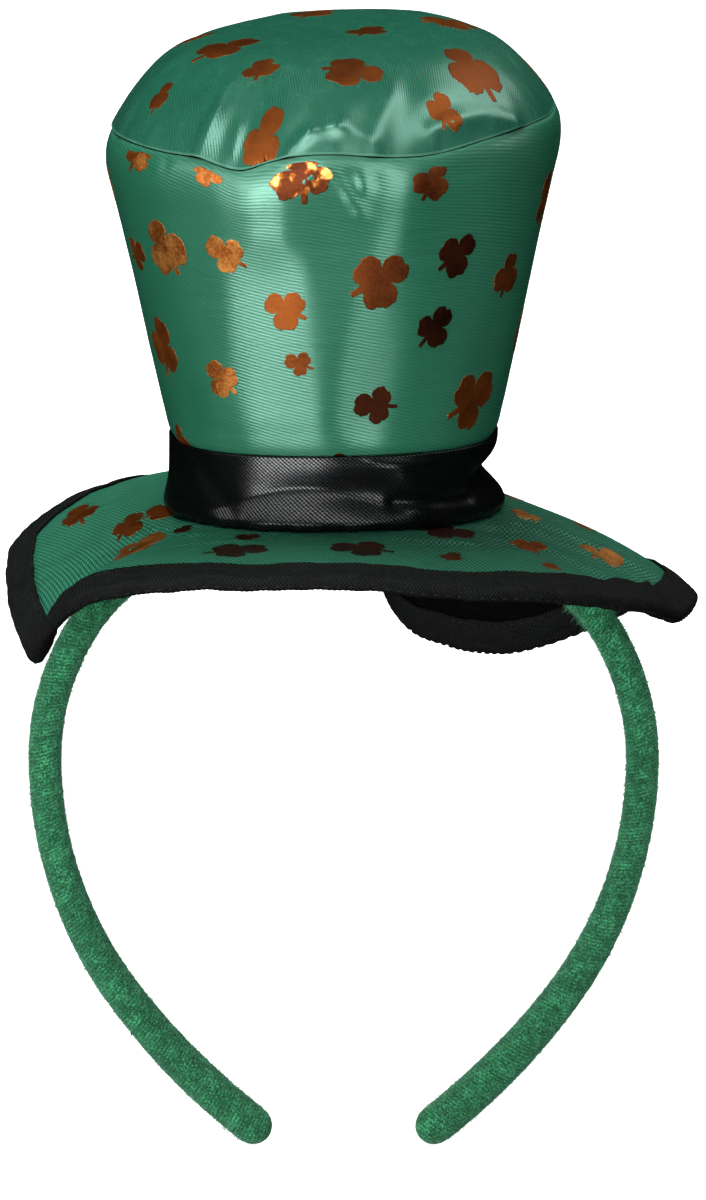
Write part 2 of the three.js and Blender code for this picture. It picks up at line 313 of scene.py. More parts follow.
def brim_relief(flat, angle):
    """Soft folds of the brim, a slow ripple that grows towards the rim, and the rise and droop of the
    rim's bend."""
    turn = np.degrees(angle)
    rise = smooth_rows(turn, RIM_BEND, 1, 360) * between(flat, RIM_RISE)
    droop = smooth_rows(turn, RIM_BEND, 2, 360) * between(flat, RIM_DROOP)
    ripple = waves(angle, BRIM_RIPPLES) * ease((flat - BRIM_FREE) / 30)
    folds = ridges(flat * np.cos(angle), flat * np.sin(angle), BRIM_FOLDS)
    folds = folds * ease((flat - BRIM_FREE) / 5) * between(flat, FOLDS_END)
    return rise - droop + ripple + folds


def side_shift(angle, height):
    """The dent that pinches the foot of the crown on the +X side, and the flare under it."""
    near = bell(apart(angle, PINCH_AT), PINCH_WIDTH)
    crease = CREASE_DEPTH * bell(apart(angle, CREASE_AT), CREASE_WIDTH)
    dent = np.maximum(PINCH_DEPTH * near, crease) * bell(height - PINCH_HEIGHT, PINCH_TALL)
    return FLARE * near * np.exp(-((height / FLARE_TALL) ** 4)) - dent


def crown_xyz(radius, angle, height):
    """A point of the crown: it stands on the saddle of the brim and its seam plane tilts up to +X."""
    up = height / SEAM_HEIGHT
    sag = BRIM_SADDLE * (np.cos(angle) * np.minimum(radius / BRIM_FOLD, 1)) ** 2
    tilt = SEAM_TILT * up * radius * np.cos(angle) / SEAM_RADIUS
    return hat_xyz(radius, angle, BRIM_Z + STAND - sag * (1 - up) + height + tilt)


def soft_waves(angle, height):
    """Slow uneven waves of a stuffed cloth, each slanting up the wall in its own way."""
    return waves(angle, [(size, count, start + height / slant) for size, count, start, slant in WALL_WAVES])


def wall_xyz(angle, height, inset):
    """The crown's side: its profile turned round the axis, with folds, puckers under the seam and the
    seam's rise and fall. Inset goes into the wall."""
    free = between(height, WALL_FREE) * between(height, WALL_SEWN)
    relief = free * (soft_waves(angle, height) + round_ridges(angle, height, WALL_FOLDS))
    pucker = 0.5 * seam_gathers(angle, seed=11, count=44) * bell(SEAM_HEIGHT - height, 5)
    radius = smooth_rows(height, CROWN_PROFILE, 1) + side_shift(angle, height) + relief + pucker
    rise = smooth_rows(np.degrees(angle), SEAM_WAVES, 1, 360) * between(height, SEAM_PULL)
    return crown_xyz(radius - inset, angle, height + rise)


def top_xyz(angle, part, inset):
    """The crown's top panel: a dome that is flat in the middle and steep at the seam, with folds and
    puckers along its normal."""
    r = part * SEAM_RADIUS
    slope = np.arctan(DOME_HEIGHT * DOME_POWER / SEAM_RADIUS * part ** (DOME_POWER - 1))
    x, y = r * np.cos(angle), r * np.sin(angle)
    pucker = 0.6 * seam_gathers(angle, seed=23, count=40) * bell(SEAM_RADIUS - r, 6)
    wave = 0.25 * np.sin(x / 9 + 0.5) * np.sin(y / 11 + 1.0) + 0.2 * np.sin(x / 17 - y / 14)
    lift = (wave + ridges(x, y, TOP_FOLDS)) * ease(part * 4) + pucker * ease(part * 2) - inset
    rise = smooth_rows(np.degrees(angle), SEAM_WAVES, 1, 360) * between(part, (0.55, 1.0))
    height = DOME_LIFT + DOME_HEIGHT * (1 - part**DOME_POWER) + rise + lift * np.cos(slope)
    radius = r + lift * np.sin(slope)
    tilt = SEAM_TILT * radius * np.cos(angle) / SEAM_RADIUS
    return hat_xyz(radius, angle, BRIM_Z + STAND + height + tilt)


def band_xyz(angle, height, inset):
    """The ribbon round the foot of the crown, with the pinch and its creases. Below a line that rises to
    the front it leans out in a slack roll, and its lower edge is uneven."""
    line = ROLL_TOP * bell(apart(angle, ROLL_AT), ROLL_WIDTH)
    below = line - height
    slack = ease(line / 3)
    roll = slack * ROLL_SLOPE * (np.sqrt(below**2 + 0.8) + below) / 2
    crease = slack * 0.05 * np.exp(-((below + 0.3) ** 2) / 0.5)
    under = 0.8 * bell(height, 0.9)
    relief = round_ridges(angle, height, BAND_FOLDS) * ease((BAND_HEIGHT + 0.7 - height) / 3)
    radius = BAND_RADIUS + side_shift(angle, height) + relief + roll - crease - under - inset
    return crown_xyz(radius, angle, height + waves(angle, RIBBON_EDGE) * bell(height, 1.5))


def hoop_xyz(distance, around, lift):
    """The hoop: five arcs end to end down each arm, carrying a round tube that swells to its tips. The
    loose pile takes up the outer part of the tube."""
    left, x, z, heading = np.abs(distance), 0.0, HOOP_TUBE, 0.0
    side = np.where(distance < 0, -1.0, 1.0)
    start = 0.0
    for radius, turn in HOOP_ARCS:
        swing = np.clip(left / radius, 0, np.radians(turn))
        x = x + radius * (np.sin(start + swing) - np.sin(start))
        z = z + radius * (np.cos(start + swing) - np.cos(start))
        heading = heading + swing
        start = start + np.radians(turn)
        left = left - swing * radius
    x = x + left * np.cos(heading)
    z = z - left * np.sin(heading)
    swell = np.clip((np.abs(distance) - HOOP_SWELL[0]) / (HOOP_SWELL[1] - HOOP_SWELL[0]), 0, 1)
    tube = HOOP_TUBE + (HOOP_TIP_TUBE - HOOP_TUBE) * swell
    tip = np.clip((np.abs(distance) - HOOP_BODY) / HOOP_TIP_TUBE, 0, 1)
    out = (tube - HOOP_PILE + lift) * np.sqrt(1 - tip**2)
    x = x + out * np.cos(around) * np.sin(heading)
    z = z + out * np.cos(around) * np.cos(heading)
    return np.stack(np.broadcast_arrays(side * x, out * np.sin(around), z), axis=-1)


def net(rows, columns, wrap_rows, wrap_columns):
    """Corner numbers of a net of quads: (row, column) pairs that run on past the last row or column
    where the net closes on itself."""
    j = np.arange(rows if wrap_rows else rows - 1)
    i = np.arange(columns if wrap_columns else columns - 1)
    j, i = (a.ravel() for a in np.meshgrid(j, i, indexing="ij"))
    return np.stack([j, j, j + 1, j + 1], 1), np.stack([i, i + 1, i + 1, i], 1)


def make_mesh(name, points, corners, sizes, uv, material, tone_and_painted_shade=None):
    """A mesh from its points, the corner numbers of its faces one after another, each face's number of
    corners and each corner's place on the flat cloth."""
    mesh = bpy.data.meshes.new(name)
    mesh.vertices.add(len(points))
    mesh.vertices.foreach_set("co", (points * MM).astype(np.float32).ravel())
    mesh.loops.add(len(corners))
    mesh.loops.foreach_set("vertex_index", corners.astype(np.int32))
    mesh.polygons.add(len(sizes))
    starts = np.concatenate([[0], np.cumsum(sizes)[:-1]])
    mesh.polygons.foreach_set("loop_start", starts.astype(np.int32))
    mesh.polygons.foreach_set("loop_total", np.asarray(sizes, np.int32))
    mesh.polygons.foreach_set("use_smooth", np.ones(len(sizes), bool))
    mesh.update(calc_edges=True)
    layer = mesh.uv_layers.new(name="cloth")
    layer.uv.foreach_set("vector", uv.astype(np.float32).ravel())
    # The foil's per-print level goes on as a point attribute; it is partly its own colour and partly painted
    # shade and light.
    if tone_and_painted_shade is not None:
        mesh.attributes.new("tone_and_painted_shade", "FLOAT", "POINT").data.foreach_set("value", tone_and_painted_shade.astype(np.float32))
    mesh.validate()
    mesh.materials.append(material)
    piece = bpy.data.objects.new(name, mesh)
    bpy.context.scene.collection.objects.link(piece)
    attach(piece, "root")
    return piece


def ring_piece(name, points, uv, material):
    """A closed ring: its section's rows and its columns both run round to where they began."""
    rows, columns = points.shape[:2]
    j, i = net(rows, columns, True, True)
    corners = (j % rows) * columns + i % columns
    sizes = np.full(len(corners), 4)
    return make_mesh(name, points.reshape(-1, 3), corners.ravel(), sizes, uv[j, i].reshape(-1, 2), material)


def lens_piece(name, points, first, last, uv, material, tone_and_painted_shade=None):
    """Closed lenses: stacks of rings (lens, row, column) with one point at each end, which lies at the
    middle of the flat cloth."""
    count, rows, columns = points.shape[:3]
    j, i = net(rows, columns, False, True)
    step = np.arange(count)[:, None, None] * rows * columns
    quads = (j * columns + i % columns)[None] + step
    quad_uv = uv[:, j, i]
    near = np.arange(columns)
    after = (near + 1) % columns
    ends = count * rows * columns
    head = np.stack(np.broadcast_arrays(ends + np.arange(count)[:, None], after, near), -1)
    head[..., 1:] += step[:, :, 0:1]
    tail = np.stack(np.broadcast_arrays(ends + count + np.arange(count)[:, None], near, after), -1)
    tail[..., 1:] += step[:, :, 0:1] + (rows - 1) * columns
    middle_uv = np.zeros((count, columns, 2))
    head_uv = np.stack([middle_uv, uv[:, 0, 1:], uv[:, 0, :-1]], 2)
    tail_uv = np.stack([middle_uv, uv[:, -1, :-1], uv[:, -1, 1:]], 2)
    corners = np.concatenate([quads.ravel(), head.ravel(), tail.ravel()])
    sizes = np.repeat([4, 3], [quads[..., 0].size, head[..., 0].size + tail[..., 0].size])
    all_uv = np.concatenate([quad_uv.reshape(-1, 2), head_uv.reshape(-1, 2), tail_uv.reshape(-1, 2)])
    all_points = np.concatenate([points.reshape(-1, 3), first, last])
    if tone_and_painted_shade is not None:
        tone_and_painted_shade = np.concatenate([np.repeat(tone_and_painted_shade, rows * columns), tone_and_painted_shade, tone_and_painted_shade])
    return make_mesh(name, all_points, corners, sizes, all_uv, material, tone_and_painted_shade)


def add_node(tree, kind, props=None, **sockets):
    """A shader node with its settings; each socket takes a value or the socket that feeds it."""
    made = tree.nodes.new("ShaderNode" + kind)
    for key, value in (props or {}).items():
        setattr(made, key, value)
    for key, value in sockets.items():
        socket = made.inputs[int(key[1:])] if key[1:].isdigit() else made.inputs[key.replace("_", " ")]
        if isinstance(value, bpy.types.NodeSocket):
            tree.links.new(value, socket)
        else:
            socket.default_value = value
    return made


def sums(tree, operation, a, b=0.0):
    """One arithmetic step on two values or sockets."""
    return add_node(tree, "Math", {"operation": operation}, i0=a, i1=b).outputs[0]


def start_group(name, values, results):
    """A shared effect: its node tree, the sockets it is given (a place and values) and those it fills."""
    tree = bpy.data.node_groups.new(name, "ShaderNodeTree")
    tree.interface.new_socket("Place", in_out="INPUT", socket_type="NodeSocketVector")
    for value in values:
        tree.interface.new_socket(value, in_out="INPUT", socket_type="NodeSocketFloat")
    for result in results:
        tree.interface.new_socket(result, in_out="OUTPUT", socket_type="NodeSocketFloat")
    return tree, tree.nodes.new("NodeGroupInput").outputs, tree.nodes.new("NodeGroupOutput").inputs


def weave_group():
    """Threads of a woven cloth: sine ridges along both thread directions, multiplied for a plain weave
    and added in phase for a slanting twill, with a noise drawn out along the threads as their tint."""
    tree, given, result = start_group("woven_threads", ("Across", "Along", "Twill"), ("Height", "Thread"))
    place = add_node(tree, "SeparateXYZ", i0=given["Place"])
    across = sums(tree, "DIVIDE", place.outputs[0], given["Across"])
    along = sums(tree, "DIVIDE", place.outputs[1], given["Along"])
    a = sums(tree, "MULTIPLY", across, TURN)
    b = sums(tree, "MULTIPLY", along, TURN)
    plain = sums(tree, "MULTIPLY", sums(tree, "SINE", a), sums(tree, "SINE", b))
    twill = sums(tree, "SINE", sums(tree, "ADD", a, b))
    mixed = add_node(tree, "Mix", {"data_type": "FLOAT"}, i0=given["Twill"], i2=plain, i3=twill)
    height = sums(tree, "MULTIPLY_ADD", mixed.outputs[0], 0.5)
    height.node.inputs[2].default_value = 0.5
    drawn = add_node(tree, "CombineXYZ", i0=sums(tree, "MULTIPLY", across, 0.12), i1=along)
    noise = add_node(tree, "TexNoise", Vector=drawn.outputs[0], Scale=1.0, Detail=2.0, Roughness=0.6)
    tree.links.new(height, result["Height"])
    tree.links.new(noise.outputs[0], result["Thread"])
    return tree


def mottle_group():
    """Uneven shade over a surface: broad noise and fine noise added by weight."""
    tree, given, result = start_group("mottled_shade", ("Broad", "Fine", "Weight"), ("Shade",))
    broad = add_node(tree, "TexNoise", Vector=given["Place"], Scale=given["Broad"], Detail=3.0)
    fine = add_node(tree, "TexNoise", Vector=given["Place"], Scale=given["Fine"], Detail=3.0)
    mixed = add_node(tree, "Mix", {"data_type": "FLOAT"}, i0=given["Weight"], i2=broad.outputs[0],
                     i3=fine.outputs[0])
    tree.links.new(mixed.outputs[0], result["Shade"])
    return tree


WEAVE = weave_group()
MOTTLE = mottle_group()


def start_material(name):
    """A new material: its node tree, its shader, and places on the flat cloth and in the object."""
    made = bpy.data.materials.new(name)
    made.use_nodes = True
    tree = made.node_tree
    shader = next(n for n in tree.nodes if n.type == "BSDF_PRINCIPLED")
    cloth = add_node(tree, "UVMap", {"uv_map": "cloth"}).outputs[0]
    body = add_node(tree, "TexCoord").outputs["Object"]
    return made, tree, shader, cloth, body


def placed_group(tree, group, **values):
    """A shared effect placed in a material with its own values."""
    made = tree.nodes.new("ShaderNodeGroup")
    made.node_tree = group
    for key, value in values.items():
        if isinstance(value, bpy.types.NodeSocket):
            tree.links.new(value, made.inputs[key])
        else:
            made.inputs[key].default_value = value
    return made


def blend(tree, factor, dark, light):
    """A colour between two, by a factor that changes over the surface."""
    made = add_node(tree, "Mix", {"data_type": "RGBA"}, i0=factor)
    made.inputs[6].default_value = (*dark, 1)
    made.inputs[7].default_value = (*light, 1)
    return made.outputs[2]


def colour_ramp(tree, value, *stops):
    """Colours by a value: each stop is a value and the colour there."""
    ramp = add_node(tree, "ValToRGB", Fac=value)
    elements = ramp.color_ramp.elements
    for element, (position, colour) in zip(elements, (stops[0], stops[-1])):
        element.position = position
        element.color = (*colour, 1)
    for position, colour in stops[1:-1]:
        elements.new(position).color = (*colour, 1)
    return ramp.outputs[0]


def remap(tree, value, low, high, to_low, to_high):
    """A value carried from one range to another, held at the ends."""
    return add_node(tree, "MapRange", i0=value, i1=low, i2=high, i3=to_low, i4=to_high).outputs[0]


def bump(tree, shader, height, distance):
    """Small relief under the shader's light."""
    made = add_node(tree, "Bump", Strength=1.0, Distance=distance, Height=height)
    tree.links.new(made.outputs[0], shader.inputs["Normal"])


def woven_material(name, dark, light, across, along, twill, gloss, relief, tangle=0.5, dots=0.25):
    """A woven cloth: thread relief and thread tint from the shared weave, uneven shade from the shared
    mottle, and a roughness that follows the threads. Across and along are the threads' repeats on the
    cloth map, tangle is the fine share of the mottle, and dots is how far raised threads show paler."""
    made, tree, shader, cloth, body = start_material(name)
    weave = placed_group(tree, WEAVE, Place=cloth, Across=across, Along=along, Twill=twill)
    mottle = placed_group(tree, MOTTLE, Place=body, Broad=60.0, Fine=900.0, Weight=tangle)
    raised = sums(tree, "MULTIPLY", sums(tree, "SUBTRACT", weave.outputs["Height"], 0.5), dots)
    raised = sums(tree, "MULTIPLY", raised, remap(tree, mottle.outputs["Shade"], 0.38, 0.62, 0.2, 1.8))
    tint = sums(tree, "ADD", sums(tree, "MULTIPLY", weave.outputs["Thread"], 0.5), raised)
    tint = sums(tree, "ADD", tint, sums(tree, "MULTIPLY", mottle.outputs["Shade"], 0.35))
    shade = remap(tree, tint, 0.2, 0.65, 0, 1)
    tree.links.new(blend(tree, shade, dark, light), shader.inputs["Base Color"])
    rough = remap(tree, weave.outputs["Thread"], 0.3, 0.7, gloss - 0.02, gloss + 0.02)
    tree.links.new(rough, shader.inputs["Roughness"])
    bump(tree, shader, weave.outputs["Height"], relief)
    return made, tree, shader


def satin_gloss(tree, shader, drawn):
    """The gloss of satin: drawn out up and down the cloth and narrow across it."""
    shader.inputs["Anisotropic"].default_value = drawn
    shader.inputs["Anisotropic Rotation"].default_value = 0.25
    tangent = add_node(tree, "Tangent", {"direction_type": "UV_MAP", "uv_map": "cloth"})
    tree.links.new(tangent.outputs[0], shader.inputs["Tangent"])


def satin_material(name, dark, light, across, along, relief, gloss, drawn, index, hem, round_cut):
    """Green satin: fine slanting threads, with a gloss tinted like the cloth. Past the hem, a height on
    the flat cloth or a distance from the middle of a round cut, the sewn edge is dull."""
    made, tree, shader = woven_material(name, dark, light, across=across, along=along, twill=0.9,
                                        gloss=gloss, relief=relief, dots=0.5)
    shader.inputs["IOR"].default_value = index
    shader.inputs["Specular Tint"].default_value = (0.55, 1.0, 0.83, 1)
    satin_gloss(tree, shader, drawn)
    place = add_node(tree, "UVMap", {"uv_map": "cloth"}).outputs[0]
    if round_cut:
        up = add_node(tree, "VectorMath", {"operation": "LENGTH"}, i0=place).outputs["Value"]
    else:
        up = add_node(tree, "SeparateXYZ", i0=place).outputs[1]
    rough = shader.inputs["Roughness"].links[0].from_socket
    dull = remap(tree, up, hem, hem + 0.008, 0, 0.8)
    tree.links.new(sums(tree, "MAXIMUM", rough, dull), shader.inputs["Roughness"])
    return made


def brim_satin_material():
    """The same green cloth on the brim, with its coarser back weave showing as rows of pale dots."""
    made, tree, shader = woven_material("green_brim_satin", (0.002, 0.030, 0.015), (0.026, 0.148, 0.088),
                                        across=0.0115, along=0.025, twill=0.0, gloss=0.5, relief=0.00006,
                                        tangle=0.75, dots=2.2)
    shader.inputs["Specular IOR Level"].default_value = 0.2
    shader.inputs["Specular Tint"].default_value = (0.6, 1.0, 0.85, 1)
    return made


def ribbon_material():
    """Black ribbon: nearly no colour of its own, a dim sheen, and threads whose crowns shine grey."""
    across, along, twill = 0.0100, 0.0085, 0.5
    made, tree, shader = woven_material("black_ribbon", (0.0006, 0.0007, 0.0007), (0.0026, 0.0030, 0.0031),
                                        across, along, twill, gloss=0.32, relief=0.00005)
    shader.inputs["Specular IOR Level"].default_value = 0.03
    shader.inputs["Specular Tint"].default_value = (0.84, 0.93, 1.0, 1)
    place = add_node(tree, "UVMap", {"uv_map": "cloth"}).outputs[0]
    crowns = placed_group(tree, WEAVE, Place=place, Across=across, Along=along, Twill=twill)
    loose = placed_group(tree, MOTTLE, Place=place, Broad=60.0, Fine=330.0, Weight=0.85)
    worn = sums(tree, "MULTIPLY", loose.outputs["Shade"], 1.3)
    raised = sums(tree, "ADD", crowns.outputs["Height"], worn)
    tree.links.new(remap(tree, raised, 0.95, 1.6, 0, 0.7), shader.inputs["Coat Weight"])
    shader.inputs["Coat Roughness"].default_value = 0.24
    shader.inputs["Coat Tint"].default_value = (0.84, 0.93, 1.0, 1)
    satin_gloss(tree, shader, 0.9)
    return made


def lining_material():
    """Black lining cloth: plain weave and no gloss."""
    made, tree, shader = woven_material("black_lining", (0.0005, 0.0005, 0.0006), (0.0030, 0.0032, 0.0034),
                                        across=0.0065, along=0.0065, twill=0.0, gloss=0.9, relief=0.00005)
    shader.inputs["Specular IOR Level"].default_value = 0.0
    return made


def tape_material():
    """Black binding tape: ribbed across its width, matt, with paler worn threads."""
    made, tree, shader = woven_material("black_tape", (0.0003, 0.0004, 0.0004), (0.0078, 0.0088, 0.0085),
                                        across=0.009, along=0.012, twill=0.2, gloss=0.75, relief=0.00020,
                                        dots=0.7)
    shader.inputs["Specular IOR Level"].default_value = 0.07
    return made


def thread_material():
    """Sewing thread: dark grey with a twist of paler fibre."""
    made, tree, shader, cloth, body = start_material("grey_thread")
    mottle = placed_group(tree, MOTTLE, Place=body, Broad=700.0, Fine=2600.0, Weight=0.5)
    shade = remap(tree, mottle.outputs["Shade"], 0.35, 0.65, 0, 1)
    grey = blend(tree, shade, (0.0015, 0.0016, 0.0018), (0.009, 0.0098, 0.0105))
    tree.links.new(grey, shader.inputs["Base Color"])
    tree.links.new(remap(tree, shade, 0, 1, 0.6, 0.45), shader.inputs["Roughness"])
    shader.inputs["Specular IOR Level"].default_value = 0.1
    bump(tree, shader, mottle.outputs["Shade"], 0.0001)
    return made


def foil_material():
    """Copper foil print: metal whose colour changes from print to print, partly its own and partly painted
    shade and light, dulled by the threads under it, with painted glints of bright yellow on the print set
    highest."""
    made, tree, shader, cloth, body = start_material("copper_foil")
    weave = placed_group(tree, WEAVE, Place=cloth, Across=0.005, Along=0.005, Twill=0.5)
    mottle = placed_group(tree, MOTTLE, Place=body, Broad=160.0, Fine=1500.0, Weight=0.45)
    # Each print's level: partly the foil's own bronze or copper, partly painted shade and painted light for
    # how light falls on it.
    tone_and_painted_shade = add_node(tree, "Attribute", {"attribute_name": "tone_and_painted_shade"}).outputs["Fac"]
    uneven = sums(tree, "MULTIPLY", sums(tree, "SUBTRACT", mottle.outputs["Shade"], 0.5), 0.5)
    # Painted glints: bright yellow patches in the base colour that stand for highlights, on the print set
    # over 0.8.
    glint = placed_group(tree, MOTTLE, Place=body, Broad=230.0, Fine=900.0, Weight=0.1)
    painted_glints = sums(tree, "MULTIPLY", remap(tree, glint.outputs["Shade"], 0.50, 0.64, -0.35, 0.5),
                remap(tree, tone_and_painted_shade, 0.8, 1.0, 0, 1))
    level = sums(tree, "ADD", sums(tree, "ADD", sums(tree, "MINIMUM", tone_and_painted_shade, 0.72), uneven), painted_glints)
    # The ramp's top stop, bright yellow, is reached mostly through the painted glints.
    copper = colour_ramp(tree, level, (0.05, (0.014, 0.004, 0.0012)), (0.35, (0.066, 0.0135, 0.003)),
                         (0.68, (0.25, 0.066, 0.010)), (1.0, (0.95, 0.52, 0.13)))
    tree.links.new(copper, shader.inputs["Base Color"])
    tree.links.new(remap(tree, mottle.outputs["Shade"], 0.35, 0.65, 0.42, 0.58), shader.inputs["Roughness"])
    shader.inputs["Metallic"].default_value = 0.9
    threads = sums(tree, "MULTIPLY", weave.outputs["Height"], 0.3)
    bump(tree, shader, sums(tree, "ADD", threads, mottle.outputs["Shade"]), 0.00006)
    return made


def plush_material(name, dark, light, bright):
    """Brushed green knit: rows of stitches across the tube, tangled pile and bright single fibres; the
    bright fibres are partly the yarn's own colour and partly painted highlight for fibres that catch the
    light.
    """
    made, tree, shader, cloth, body = start_material(name)
    start = TURN * HOOP_TUBE / RIB_STARTS
    weave = placed_group(tree, WEAVE, Place=cloth, Across=RIB_PITCH / CLOTH_UNIT, Along=start / CLOTH_UNIT,
                         Twill=0.9)
    mottle = placed_group(tree, MOTTLE, Place=body, Broad=420.0, Fine=2600.0, Weight=0.75)
    rows = sums(tree, "MULTIPLY", weave.outputs["Height"], 0.09)
    pile = sums(tree, "ADD", rows, mottle.outputs["Shade"])
    green = colour_ramp(tree, remap(tree, pile, 0.40, 0.69, 0, 1), (0.0, dark), (0.55, light), (1.0, bright))
    tree.links.new(green, shader.inputs["Base Color"])
    tree.links.new(remap(tree, pile, 0.38, 0.78, 0.95, 0.75), shader.inputs["Roughness"])
    shader.inputs["Specular IOR Level"].default_value = 0.2
    shader.inputs["Sheen Weight"].default_value = 0.3
    shader.inputs["Sheen Roughness"].default_value = 0.5
    shader.inputs["Sheen Tint"].default_value = (0.4, 0.9, 0.58, 1)
    bump(tree, shader, pile, 0.0005)
    return made


def round_angles(columns):
    """Directions round the hat, one a column, with the first again at the end for the flat cloth."""
    return np.arange(columns + 1) / columns * TURN


def section_rows(*parts):
    """A section's rows: each part is a row of places along the cloth and the one level they share."""
    return np.concatenate([np.stack([places, np.full(len(places), level)], 1) for places, level in parts])


def closed_rows(rows):
    """A section's rows with the first again at the end, for the flat cloth of a ring."""
    return np.concatenate([rows, rows[:1]])


SIDE_SATIN = satin_material("green_side_satin", (0.012, 0.083, 0.046), (0.018, 0.119, 0.068),
                            across=0.032, along=0.0078, relief=0.00003, gloss=0.325, drawn=0.92,
                            index=1.85, hem=0.838, round_cut=False)
# The top panel is the side's satin with darker colours: painted shade, set against the stronger light on the
# top.
TOP_SATIN_PAINTED_SHADE = satin_material("green_top_satin_painted_shade", (0.0065, 0.060, 0.035), (0.0105, 0.087, 0.051),
                           across=0.0058, along=0.05, relief=0.00001, gloss=0.26, drawn=0.6,
                           index=1.95, hem=0.514, round_cut=True)
BRIM_SATIN = brim_satin_material()
RIBBON = ribbon_material()
LINING = lining_material()
TAPE = tape_material()
THREAD = thread_material()
FOIL = foil_material()
# The palest knit colour, and the loose fibres' colours, paler than the knit, are partly the yarn's own and
# partly painted light for thin fibres that catch it.
PLUSH = plush_material("green_plush", (0.0012, 0.024, 0.009), (0.0060, 0.096, 0.036), (0.055, 0.38, 0.16))
FUZZ = plush_material("green_fuzz", (0.014, 0.130, 0.056), (0.044, 0.245, 0.122), (0.22, 0.55, 0.36))


def band_uv(radius, angle, across):
    """Places on a flat strip that goes round the hat."""
    return np.stack(np.broadcast_arrays(angle[None] * radius, across[:, None]), -1) / CLOTH_UNIT


def disc_uv(radius, angle):
    """Places on a flat round cut."""
    return np.stack([radius * np.cos(angle), radius * np.sin(angle)], -1) / CLOTH_UNIT


def crown_side():
    """The wall's outer face, its edge rolled into the seam, and a plain inner face."""
    outer = np.concatenate([np.linspace(0, 16, 24), np.linspace(17, SEAM_HEIGHT, 100)])
    tuck = np.array([[85.15, 0.5], [84.9, 1.2], [84.0, 1.7]])
    inner = np.concatenate([np.linspace(76, 20, 8), np.linspace(17, 0, 18)])
    section = np.concatenate([section_rows((outer, 0.0)), tuck, section_rows((inner, WALL_THICK))])
    angle = round_angles(360)
    points = wall_xyz(angle[None, :-1], section[:, :1], section[:, 1:])
    uv = band_uv(WALL_MEAN_RADIUS, angle, closed_rows(section)[:, 0])
    piece = ring_piece("crown_side_satin", points, uv, SIDE_SATIN)
    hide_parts("crown_side")


def crown_top():
    """The domed panel from its middle to the seam, its edge rolled in, and a plain under face."""
    over = np.concatenate([np.linspace(0.012, 0.99, 90), [0.996, 0.999, 1.0]])
    tuck = np.array([[0.992, 0.9], [0.975, 1.4]])
    under = np.array([0.9, 0.7, 0.4, 0.05])
    section = np.concatenate([section_rows((over, 0.0)), tuck, section_rows((under, TOP_THICK))])
    angle = round_angles(360)[::-1]
    points = top_xyz(angle[None, :-1], section[:, :1], section[:, 1:])
    middle = top_xyz(np.zeros((2, 1)), np.zeros((2, 1)), np.array([[0.0], [TOP_THICK]]))[:, 0]
    unrolled = np.concatenate([over, 2 - tuck[:, 0], 2 - under])
    uv = disc_uv(TOP_CUT * unrolled[:, None], angle[None])
    piece = lens_piece("crown_top_satin", points[None], middle[:1], middle[1:], uv[None], TOP_SATIN_PAINTED_SHADE)
    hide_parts("crown_top")


def hat_band():
    """The ribbon: an outer face with its creases, two thin edges and a plain inner face."""
    outer = np.linspace(0.0, BAND_HEIGHT, 40)
    inner = np.linspace(BAND_HEIGHT - 0.1, 0.1, 24)
    section = section_rows((outer, 0.0), (inner, BAND_THICK))
    angle = round_angles(420)
    points = band_xyz(angle[None, :-1], section[:, :1], section[:, 1:])
    uv = band_uv(BAND_RADIUS, angle, closed_rows(section)[:, 0])
    piece = ring_piece("hat_band_ribbon", points, uv, RIBBON)
    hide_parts("hat_band")


def brim_top():
    """The brim's upper cloth from its hole to under the binding, with a plain lower face."""
    face = np.linspace(BRIM_RIM, BRIM_HOLE, 84)
    back = np.linspace(BRIM_HOLE, BRIM_RIM, 32)
    section = section_rows((face, CLOTH_TOP), (back, CLOTH_NEAR))
    angle = round_angles(400)
    points = brim_xyz(section[:, :1], angle[None, :-1], section[:, 1:])
    uv = disc_uv(closed_rows(section)[:, :1], angle[None])
    piece = ring_piece("brim_top_satin", points, uv, BRIM_SATIN)
    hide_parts("brim_top")


def brim_underside():
    """The brim's lining: a full disc below the upper cloth."""
    face = np.concatenate([np.linspace(1.5, 30, 8), np.linspace(32, BRIM_RIM, 56)])
    back = np.concatenate([np.linspace(BRIM_RIM, 32, 32), np.array([20.0, 3.0])])
    section = section_rows((face, -CLOTH_TOP), (back, -CLOTH_NEAR))
    angle = round_angles(300)
    points = brim_xyz(section[:, :1], angle[None, :-1], section[:, 1:])
    middle = brim_xyz(np.zeros((2, 1)), np.zeros((2, 1)), np.array([[-CLOTH_TOP], [-CLOTH_NEAR]]))[:, 0]
    uv = disc_uv(section[:, :1], angle[None])
    piece = lens_piece("brim_underside_lining", points[None], middle[:1], middle[1:], uv[None], LINING)
    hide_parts("brim_underside")


def binding_section():
    """The tape's section round the rim, as flat radius and lift: a top face, a round edge, a bottom face
    and the plain faces inside."""
    leg = np.linspace(0, 1, 10)
    full = 1.85 + 0.25 * np.sin(np.pi * leg) - 0.35 * bell(leg - 0.16, 0.07)
    top = np.stack([TAPE_TOP_EDGE + (TAPE_TURN - TAPE_TOP_EDGE) * leg, full], 1)
    bend = np.radians(np.linspace(75, -75, 9))
    edge = np.stack([TAPE_TURN + 1.9 * np.cos(bend), 1.95 * np.sin(bend)], 1)
    bottom = np.stack([TAPE_UNDER_EDGE + (TAPE_TURN - TAPE_UNDER_EDGE) * leg[::-1], -full[::-1]], 1)
    inside = np.array([[TAPE_UNDER_EDGE, -1.35], [78, -1.35], [82.4, -1.2], [82.4, 1.2], [78, 1.35],
                       [TAPE_TOP_EDGE, 1.35]])
    return np.concatenate([top, edge, bottom, inside])[::-1]


